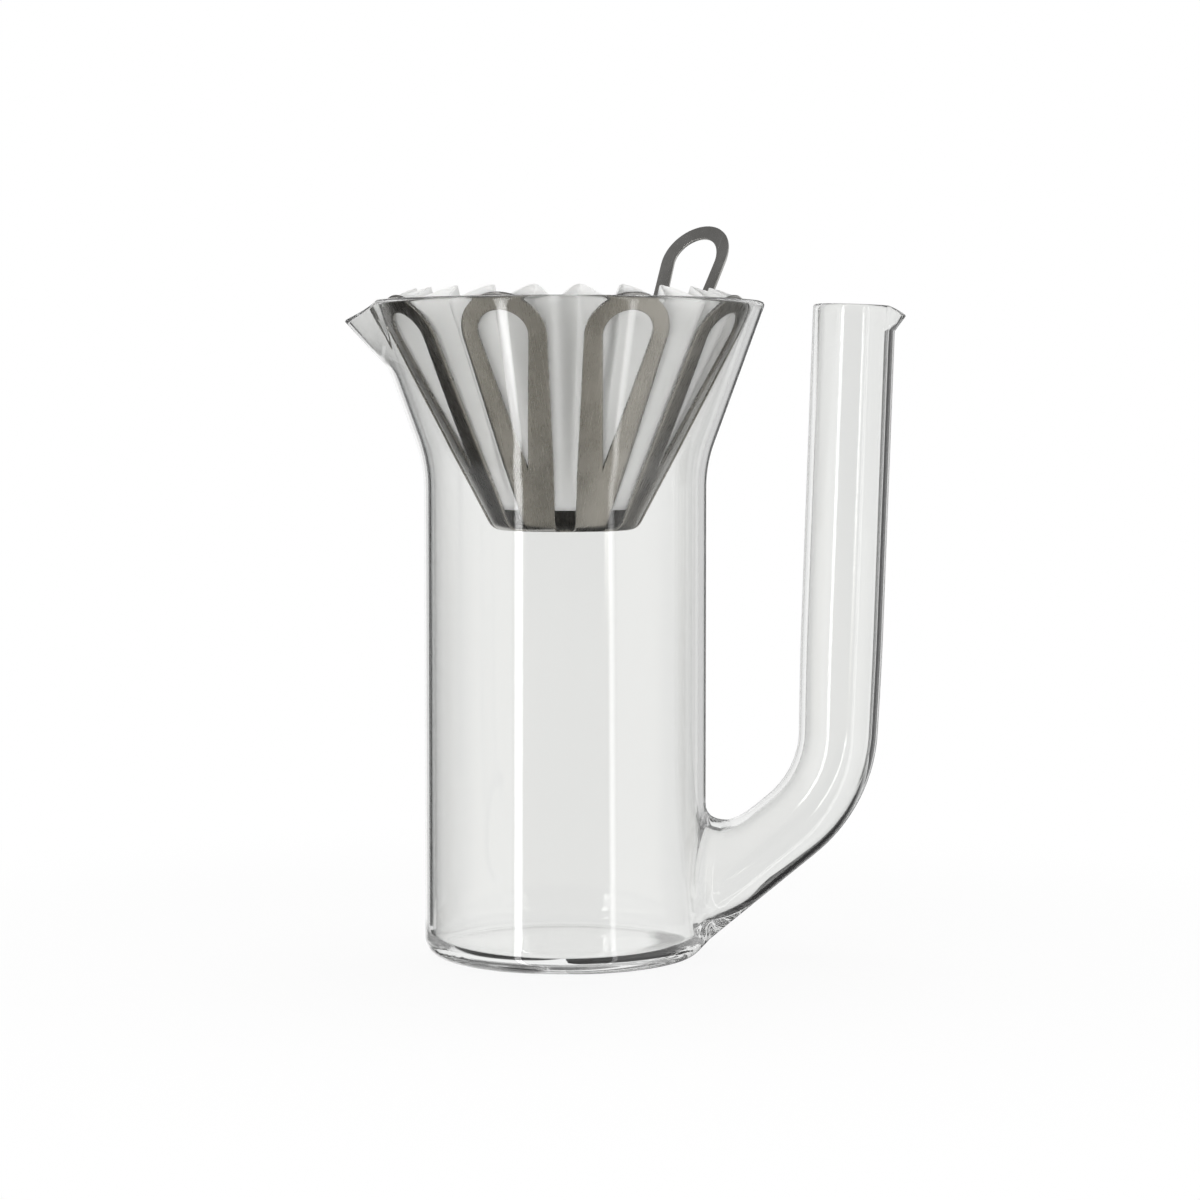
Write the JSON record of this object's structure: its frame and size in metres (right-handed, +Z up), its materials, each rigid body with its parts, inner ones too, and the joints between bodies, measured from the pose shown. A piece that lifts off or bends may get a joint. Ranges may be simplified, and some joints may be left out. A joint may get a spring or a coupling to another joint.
{
  "type": "glass pour-over carafe",
  "caption": "Clear glass carafe with a flared mouth, pouring lip and hollow tube handle, holding a folded steel petal dripper and a fluted paper filter.",
  "frame": {"origin": "centre of the underside of the glass base, on the table", "axes": "+Z up along the body's axis, +X from the body towards the handle, the pouring lip towards -X"},
  "size_m": [0.1584, 0.1124, 0.2099],
  "materials": {
    "body_glass": "clear polished borosilicate",
    "tube_glass": "clear polished borosilicate",
    "steel": "stainless sheet, satin with fine scratches",
    "paper": "white filter paper, matte"
  },
  "bodies": {
    "carafe": {"carafe_body": "body_glass", "handle_tube": "tube_glass"},
    "dripper": {"dripper": "steel"},
    "filter": {"paper_filter": "paper"}
  },
  "joints": [
    {"name": "dripper_lift", "type": "slide", "parent": "carafe", "child": "dripper", "axis": [0, 0, 1], "range_m": [0, 0.1]},
    {"name": "filter_lift", "type": "slide", "parent": "dripper", "child": "filter", "axis": [0, 0, 1], "range_m": [0, 0.09]}
  ]
}
